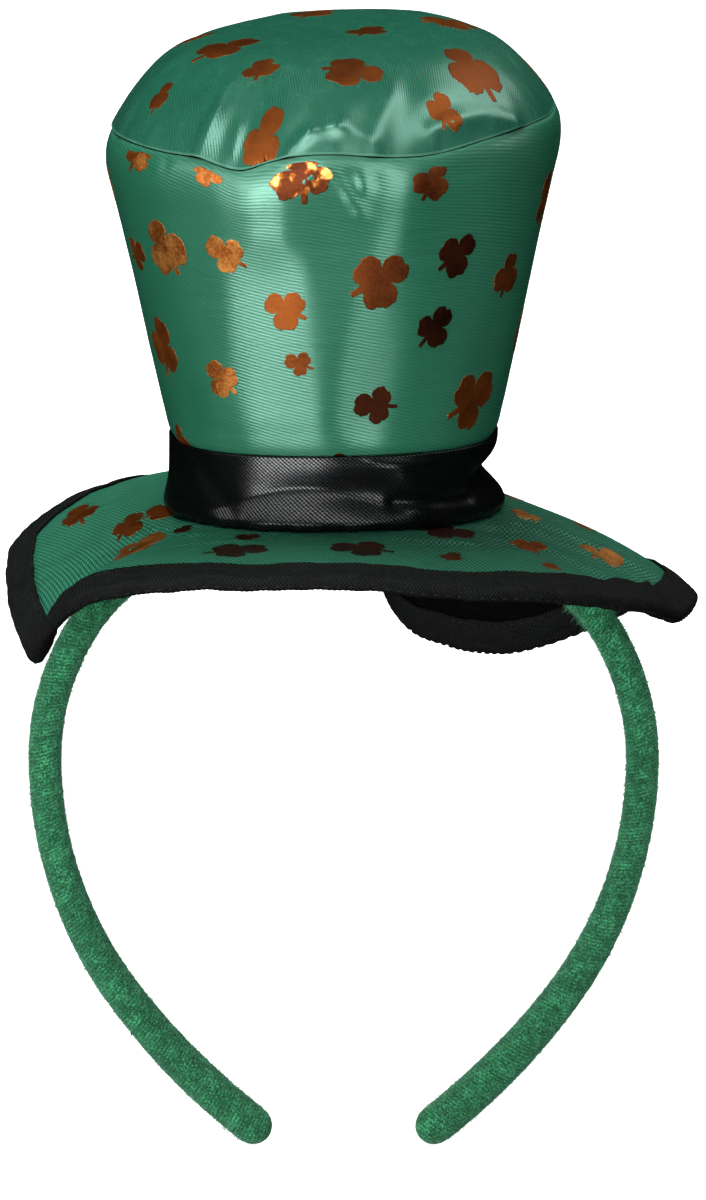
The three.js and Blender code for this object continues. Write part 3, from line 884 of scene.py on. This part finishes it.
def brim_binding():
    """The tape folded over the rim, with fine uneven ribs along it."""
    section = binding_section()
    angle = round_angles(1680)
    turn = angle[None, :-1]
    ribs = waves(turn, TAPE_RIBS)
    points = brim_xyz(section[:, :1] + ribs, turn, section[:, 1:] * (1 + ribs / 2))
    steps = np.hypot(*np.diff(closed_rows(section), axis=0).T)
    uv = band_uv(BRIM_RIM, angle, np.concatenate([[0], np.cumsum(steps)]))
    piece = ring_piece("brim_binding_tape", points, uv, TAPE)
    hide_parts("brim_binding")


def binding_stitches():
    """Rows of stitches on both faces of the tape and along its edge: short drops, pointed at both ends,
    each laid along the rim."""
    rows = np.array([[75.5, 1.72], [76.9, -1.72], [83.45, -0.75]])
    start = (np.arange(STITCHES) / STITCHES * TURN)[None, :, None, None] + np.zeros((len(rows), 1, 1, 1))
    along = np.array([-0.765, 0.0, 0.765])[None, None, :, None]
    full = np.array([0.75, 1.0, 0.75])[None, None, :, None]
    around = (-np.arange(6) / 6 * TURN)[None, None, None, :]
    angle = start + along / BRIM_RIM
    flat = rows[:, 0][:, None, None, None] + STITCH_WIDE * full * np.cos(around)
    lift = rows[:, 1][:, None, None, None] + STITCH_HIGH * full * np.sin(around)
    flat, angle, lift = np.broadcast_arrays(flat, angle, lift)
    points = brim_xyz(flat, angle, lift).reshape(-1, 3, 6, 3)
    tip = start[..., 0, 0]
    middle = rows[:, :1] + 0 * tip
    level = rows[:, 1:] + 0 * tip
    first = brim_xyz(middle, tip - STITCH_REACH / BRIM_RIM, level).reshape(-1, 3)
    last = brim_xyz(middle, tip + STITCH_REACH / BRIM_RIM, level).reshape(-1, 3)
    uv = np.zeros((len(points), 3, 7, 2))
    piece = lens_piece("binding_stitches", points, first, last, uv, THREAD)


def hoop_pile(distance, around):
    """Relief of the knit cover: slanting rows of stitches that wind along the tube, wandering a little, and
    soft lumps."""
    phase = TURN * distance / RIB_PITCH + RIB_STARTS * around + 0.8 * np.sin(distance / 5.3)
    lumps = np.sin(distance / 1.9 + 3 * around) * np.sin(distance / 3.1 - 2 * around + 1.2)
    return 0.04 * np.sin(phase) + 0.05 * lumps


def headband():
    """The knit-covered hoop, closed at both round tips."""
    reach = HOOP_BODY + HOOP_TIP_TUBE
    tip = HOOP_BODY + HOOP_TIP_TUBE * np.sin(np.linspace(0.06, 0.985, 12) * np.pi / 2)
    body = np.linspace(-HOOP_BODY, HOOP_BODY, 1900)
    distance = np.concatenate([-tip[::-1], body, tip])[:, None]
    columns = 40
    around = round_angles(columns)[None, ::-1]
    draw = np.random.default_rng(5)
    grain = draw.normal(0, 0.05, (len(distance), columns))
    lift = hoop_pile(distance, around[:, :-1]) + grain
    points = hoop_xyz(distance, around[:, :-1], lift)
    ends = hoop_xyz(np.array([-reach, reach]), np.zeros(2), np.zeros(2))
    uv = np.stack(np.broadcast_arrays(distance, around * HOOP_TUBE), -1) / CLOTH_UNIT
    piece = lens_piece("headband_plush", points[None], ends[:1], ends[1:], uv[None], PLUSH)
    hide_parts("headband")


def headband_fuzz():
    """Loose fibres of the cover: thin three-sided spikes at seeded places, leaning every way."""
    draw = np.random.default_rng(19)
    distance = draw.uniform(-HOOP_BODY, HOOP_BODY, FIBRES)
    around = draw.uniform(0, TURN, FIBRES)
    length = draw.gamma(1.8, 0.40, FIBRES) + FIBRE_SHORTEST
    foot = hoop_xyz(distance, around, -FIBRE_THICK)
    out = hoop_xyz(distance, around, 1.0) - hoop_xyz(distance, around, 0.0)
    aim = out + draw.normal(0, FIBRE_LEAN, (FIBRES, 3))
    aim /= np.linalg.norm(aim, axis=1, keepdims=True)
    tip = foot + aim * length[:, None]
    side = np.cross(aim, draw.normal(0, 1, (FIBRES, 3)))
    side /= np.linalg.norm(side, axis=1, keepdims=True)
    other = np.cross(aim, side)
    turn = np.arange(3) / 3 * TURN
    ring = side[:, None] * np.cos(turn)[None, :, None] + other[:, None] * np.sin(turn)[None, :, None]
    points = np.concatenate([(foot[:, None] + FIBRE_THICK * ring).reshape(-1, 3), tip])
    base = np.arange(FIBRES)[:, None] * 3 + np.arange(3)
    head = np.broadcast_to((3 * FIBRES + np.arange(FIBRES))[:, None], (FIBRES, 3))
    sides = np.stack([base, np.roll(base, -1, 1), head], -1).reshape(-1, 3)
    corners = np.concatenate([sides, base[:, ::-1]])
    uv = np.repeat(distance[:, None] / CLOTH_UNIT, 2, 1)
    uv = np.concatenate([np.repeat(uv, 9, 0), np.repeat(uv, 3, 0)])
    piece = make_mesh("headband_fuzz", points, corners.ravel(), np.full(len(corners), 3), uv, FUZZ)


# Foil clovers: direction and height on the crown's side, or place on the flat cut seen from above; then
# size, turn, a level from dark bronze to copper, and how far the print is drawn out from front to back.
# The level is partly the print's own colour and partly painted shade and painted light: each print is set
# darker or lighter by how the lights fall on it, and above 0.8 a print also gets painted glints.
WALL_CLOVERS = np.array([
    [211.5, 84.8, 5.5, 60, 0.68, 1], [236, 83.6, 4.2, 250, 0.68, 1], [262.5, 82.6, 7.2, 92, 1.0, 1],
    [296, 80, 5.0, 62, 0.42, 1], [218, 64, 7.0, 118, 0.72, 1], [240, 64, 5.2, 150, 0.74, 1],
    [256, 51.6, 5.1, 152, 0.60, 1], [259.5, 38.4, 3.2, 160, 0.52, 1], [233, 34.4, 4.7, 132, 0.72, 1],
    [205.5, 39.2, 7.0, 75, 0.66, 1], [201.5, 60, 4.2, 20, 0.55, 1], [201.5, 17.6, 3.6, 90, 0.60, 1],
    [283.5, 58, 7.1, 30, 0.45, 1], [306.5, 61.6, 5.4, 35, 0.22, 1], [328, 54.4, 5.0, 80, 0.55, 1],
    [301.5, 45.2, 5.0, 52, 0.18, 1], [322, 27.2, 7.3, 25, 0.58, 1], [284, 28, 4.8, 175, 0.25, 1],
    [347, 67.2, 6.0, 110, 0.55, 1], [274, 13.4, 4.2, 15, 0.25, 1], [352, 38, 5.4, 200, 0.5, 1],
    [8, 80, 5.2, 140, 0.5, 1], [14, 54, 6.6, 40, 0.6, 1], [22, 27, 4.6, 95, 0.5, 1],
    [34, 70, 5.0, 210, 0.6, 1], [41, 43, 6.8, 165, 0.45, 1], [58, 82, 6.2, 75, 0.55, 1],
    [62, 59, 4.4, 300, 0.6, 1], [66, 30, 5.8, 20, 0.4, 1], [83, 72, 7.0, 130, 0.62, 1],
    [90, 46, 5.0, 250, 0.5, 1], [97, 22, 4.2, 60, 0.6, 1], [108, 80, 5.0, 330, 0.45, 1],
    [114, 58, 6.4, 100, 0.58, 1], [121, 34, 5.2, 185, 0.5, 1], [136, 72, 5.6, 45, 0.6, 1],
    [144, 48, 7.0, 280, 0.52, 1], [150, 24, 4.6, 115, 0.6, 1], [160, 83, 4.8, 15, 0.5, 1],
    [169, 62, 5.4, 150, 0.6, 1], [176, 38, 6.2, 85, 0.5, 1], [187, 74, 5.0, 225, 0.6, 1],
])
TOP_CLOVERS = np.array([
    [-4.2, 17.3, 5.6, 60, 0.62, 1], [-23.9, -10.7, 7.4, 25, 0.6, 0.85], [-16, -27.2, 4.6, 78, 0.6, 0.7],
    [-37.5, -19.1, 2.8, 40, 0.55, 1], [-30.3, 6.7, 4.4, 15, 0.6, 0.7], [-15.2, -43, 4.9, 50, 0.58, 1],
    [4.8, -32.1, 7.2, 352, 0.58, 0.72], [7.4, -8.4, 5.2, 70, 0.6, 0.8], [25.3, 3.8, 7.0, 40, 0.66, 0.8],
    [29.9, -21.7, 7.2, 135, 0.58, 1], [23.7, -36.0, 4.0, 92, 0.62, 0.85], [13.5, 31, 6.2, 200, 0.55, 1],
    [-22, 28, 5.4, 120, 0.6, 1], [-4, 42, 4.4, 300, 0.5, 1], [33, 27, 4.6, 20, 0.6, 1],
    [-41, 18, 3.4, 170, 0.55, 1], [44, 8, 3.6, 80, 0.6, 1],
])
BRIM_CLOVERS = np.array([
    [-60.1, 20.7, 5.6, 100, 0.62, 1.9], [-46.5, -5.6, 5.0, 60, 0.6, 1.7], [-37.6, -2.6, 4.8, 20, 0.6, 1.5],
    [-43.1, -25.4, 6.8, 30, 0.75, 1.3], [-21.7, -53.6, 6.8, 10, 0.18, 1.3],
    [6.3, -55.1, 6.8, 170, 0.16, 1.3], [25, -31.5, 6.2, 0, 0.18, 1.3],
    [26.3, -54.4, 2.8, 70, 0.35, 1.3], [39.3, 17.5, 4.2, 40, 0.6, 1.3],
    [42.3, -3.7, 3.6, 130, 0.72, 1.3], [42.7, -30.4, 4.6, 30, 0.6, 1.4], [60.5, -15.1, 6.2, 60, 0.72, 1.5],
    [47.7, -48.6, 2.4, 90, 0.6, 1.2], [55.3, 9.2, 2.6, 10, 0.6, 1.2], [-33, -23, 2.4, 50, 0.25, 1.2],
    [-19, -39, 3.0, 20, 0.2, 1.2], [58, 36, 6.2, 75, 0.55, 1], [40, 46, 5.2, 160, 0.6, 1],
    [22, 66, 6.6, 30, 0.5, 1], [6, 48, 5.4, 110, 0.6, 1], [-16, 62, 6.8, 240, 0.55, 1],
    [-30, 44, 5.0, 60, 0.6, 1], [-40, 62, 5.0, 15, 0.5, 1],
])


def clover_radius(turn, seed, count):
    """The outline of three-leaved clovers as distance by direction: round leaves with a shallow notch, and
    a straight stem between two of them; the edge is a little ragged, as a print on coarse threads is."""
    leaf = np.mod(turn + TURN / 6, TURN / 3) - TURN / 6
    lobe = 0.36 + 0.64 * np.abs(np.cos(1.5 * leaf)) ** 0.55
    lobe = lobe * (1 - 0.10 * bell(leaf, 0.16))
    off = np.mod(turn, TURN) - TURN / 2
    stem = np.minimum(0.10 / np.maximum(np.abs(np.sin(off)), 1e-3), 1.05)
    stem = np.where(np.abs(off) < TURN / 4, stem, 0)
    draw = np.random.default_rng(seed)
    ragged = draw.uniform(-0.035, 0.035, (count, len(turn)))
    uneven = 1 + 0.10 * np.cos(turn[None] + draw.uniform(0, TURN, (count, 1)))
    return np.maximum(lobe * uneven, stem) * (1 + ragged)


def clovers(name, rows, seed, place):
    """Thin foil lenses on a cloth: rings of each outline, laid by a function from places near the print's
    middle to the cloth, a hair above it on the face and under it at the back."""
    spokes = 72
    turn = np.arange(spokes) / spokes * TURN
    face = np.array([0.25, 0.5, 0.75, 0.955, 0.985])
    rings = section_rows((face, FOIL_LIFT), (np.array([1.0]), 0.0), (np.array([0.7, 0.35]), FOIL_SUNK))
    reach = clover_radius(turn, seed, len(rows))[:, None] * rings[None, :, :1] * rows[:, 2][:, None, None]
    aim = turn[None, None] + np.radians(rows[:, 3])[:, None, None]
    lift = np.broadcast_to(rings[None, :, 1:], reach.shape)
    dx, dy = reach * np.cos(aim), reach * np.sin(aim) * rows[:, 5][:, None, None]
    points = place(rows[:, None, None], dx, dy, lift)[:, :, ::-1]
    still = np.zeros((len(rows), 1, 1))
    first = place(rows[:, None, None], still, still, still + FOIL_LIFT).reshape(-1, 3)
    last = place(rows[:, None, None], still, still, still + FOIL_SUNK).reshape(-1, 3)
    uv = np.stack([dx, dy], -1)[:, :, ::-1] / CLOTH_UNIT
    uv = np.concatenate([uv, uv[:, :, :1]], 2)
    piece = lens_piece(name, points, first, last, uv, FOIL, rows[:, 4])


def wall_place(rows, dx, dy, lift):
    """Places on the crown's side: dx round it and dy up it, squeezed more and more below the seam so that
    no print crosses it."""
    height = rows[..., 1] + dy
    over = np.maximum(height - PRINTS_FREE, 0)
    height = np.minimum(height, PRINTS_FREE) + PRINTS_ROOM * (1 - np.exp(-over / PRINTS_ROOM))
    angle = np.radians(rows[..., 0]) + dx / smooth_rows(height, CROWN_PROFILE, 1)
    return wall_xyz(angle, height, -lift)


def top_place(rows, dx, dy, lift):
    """Places on the top panel, from above."""
    x, y = rows[..., 0] + dx, rows[..., 1] + dy
    part = np.minimum(np.hypot(x, y) / SEAM_RADIUS, TOP_PRINTS)
    return top_xyz(np.arctan2(y, x), part, -lift)


def brim_place(rows, dx, dy, lift):
    """Places on the brim's flat cut, from above."""
    x, y = rows[..., 0] + dx, rows[..., 1] + dy
    flat = np.clip(np.hypot(x, y), *BRIM_PRINTS)
    return brim_xyz(flat, np.arctan2(y, x), CLOTH_TOP + lift)


headband()
headband_fuzz()
brim_underside()
brim_top()
brim_binding()
binding_stitches()
hat_band()
crown_side()
crown_top()
clovers("crown_side_clovers", WALL_CLOVERS, seed=31, place=wall_place)
clovers("crown_top_clovers", TOP_CLOVERS, seed=37, place=top_place)
clovers("brim_clovers", BRIM_CLOVERS, seed=41, place=brim_place)

# The studio, in metres and degrees, with the lens in millimetres: a pale floor under the hoop's tips, a
# camera far off in front, and soft boxes.
FLOOR_Z = -0.1415
FLOOR_HALF = 9.0
AIM = Vector((0.0021, 0.0, -0.0156))
CAMERA_RISE = 13.5
CAMERA_DISTANCE = 4.0
LENS = 539.3
SENSOR = 36.0
HAT_MIDDLE = Vector((0.0, -0.008, 0.04))

# Each soft box: azimuth and elevation of its place, distance, width, height, power, and what it lights.
# The strips and tops draw the gloss on the satin, and the fills lift the colours without a reflection.
SOFT_BOXES = [
    ("left_strip", -31, -9, 1.0, 0.91, 0.36, 23.6, "all"),
    ("right_strip", 23.5, -9, 1.0, 0.34, 0.36, 4.0, "all"),
    ("right_top", 55, 58, 1.4, 1.3, 0.4, 5.6, "gloss"),
    ("right_fill", 75, 2, 1.3, 0.6, 0.6, 4.8, "colour"),
    ("right_back", 118, 44, 1.4, 0.9, 0.9, 5.5, "all"),
    ("left_top", -31, 49, 1.4, 0.3, 0.3, 3.0, "gloss"),
    ("front_low", -25, 26, 0.9, 4.0, 0.20, 23.0, "gloss"),
    ("front_fill", -15, 35, 1.2, 1.0, 1.0, 3.6, "colour"),
    ("overhead_fill", -138, 74, 1.2, 0.8, 0.8, 25.0, "colour"),
    ("back_fill", 165, 40, 1.4, 1.0, 1.0, 7.0, "colour"),
]


def studio_floor():
    """A wide level floor of pale matt paper with a faint tooth, which throws little light back up."""
    mesh = bpy.data.meshes.new("floor")
    corners = [(-1, -1), (1, -1), (1, 1), (-1, 1)]
    mesh.from_pydata([(FLOOR_HALF * x, FLOOR_HALF * y, FLOOR_Z) for x, y in corners], [], [(0, 1, 2, 3)])
    made, tree, shader, cloth, body = start_material("pale_paper")
    mottle = placed_group(tree, MOTTLE, Place=body, Broad=3.0, Fine=400.0, Weight=0.3)
    seen = add_node(tree, "LightPath").outputs["Is Camera Ray"]
    level = sums(tree, "MULTIPLY_ADD", mottle.outputs["Shade"], 0.06)
    tree.links.new(remap(tree, seen, 0, 1, 0.04, 0.87), level.node.inputs[2])
    tree.links.new(level, shader.inputs["Base Color"])
    tree.links.new(remap(tree, seen, 0, 1, 0, 0.75), shader.inputs["Emission Strength"])
    shader.inputs["Emission Color"].default_value = (1, 1, 1, 1)
    shader.inputs["Roughness"].default_value = 0.9
    shader.inputs["Specular IOR Level"].default_value = 0.0
    mesh.materials.append(made)
    floor = bpy.data.objects.new("floor", mesh)
    bpy.context.scene.collection.objects.link(floor)
    floor.visible_glossy = False


def direction(azimuth, elevation):
    """The unit vector towards a place seen from the object: azimuth 0 is the front, 90 is +X."""
    a, e = np.radians(azimuth), np.radians(elevation)
    return Vector((np.sin(a) * np.cos(e), -np.cos(a) * np.cos(e), np.sin(e)))


def soft_box(name, azimuth, elevation, distance, width, height, power, lights):
    """A rectangular soft box aimed at the hat, which lights all, the gloss alone or the colour alone."""
    light = bpy.data.lights.new(name, "AREA")
    light.shape = "RECTANGLE"
    light.size = width
    light.size_y = height
    light.energy = power
    lamp = bpy.data.objects.new(name, light)
    towards = direction(azimuth, elevation)
    lamp.location = HAT_MIDDLE + towards * distance
    lamp.rotation_euler = towards.to_track_quat("Z", "Y").to_euler()
    lamp.visible_diffuse = lights != "gloss"
    lamp.visible_glossy = lights != "colour"
    bpy.context.scene.collection.objects.link(lamp)


def studio_air():
    """A pale ceiling over dark surroundings, weaker on the right."""
    world = bpy.data.worlds.new("studio")
    world.use_nodes = True
    tree = world.node_tree
    back = next(n for n in tree.nodes if n.type == "BACKGROUND")
    back.inputs["Color"].default_value = (1, 1, 1, 1)
    place = add_node(tree, "SeparateXYZ", i0=add_node(tree, "TexCoord").outputs["Generated"])
    ceiling = remap(tree, place.outputs[2], 0.35, 1.0, 0.04, 0.3)
    ceiling.node.interpolation_type = "SMOOTHSTEP"
    lean = remap(tree, place.outputs[0], -1, 1, 1.25, 0.75)
    tree.links.new(sums(tree, "MULTIPLY", ceiling, lean), back.inputs["Strength"])
    bpy.context.scene.world = world
    world.cycles_visibility.glossy = False


def studio_camera():
    """A long lens from the front, a little above."""
    camera = bpy.data.objects.new("camera", bpy.data.cameras.new("camera"))
    towards = direction(0, CAMERA_RISE)
    camera.location = AIM + towards * CAMERA_DISTANCE
    camera.rotation_euler = towards.to_track_quat("Z", "Y").to_euler()
    camera.data.lens = LENS
    camera.data.sensor_width = SENSOR
    bpy.context.scene.collection.objects.link(camera)
    bpy.context.scene.camera = camera
    bpy.context.scene.view_settings.view_transform = "Standard"


studio_floor()
studio_air()
for box in SOFT_BOXES:
    soft_box(*box)
studio_camera()
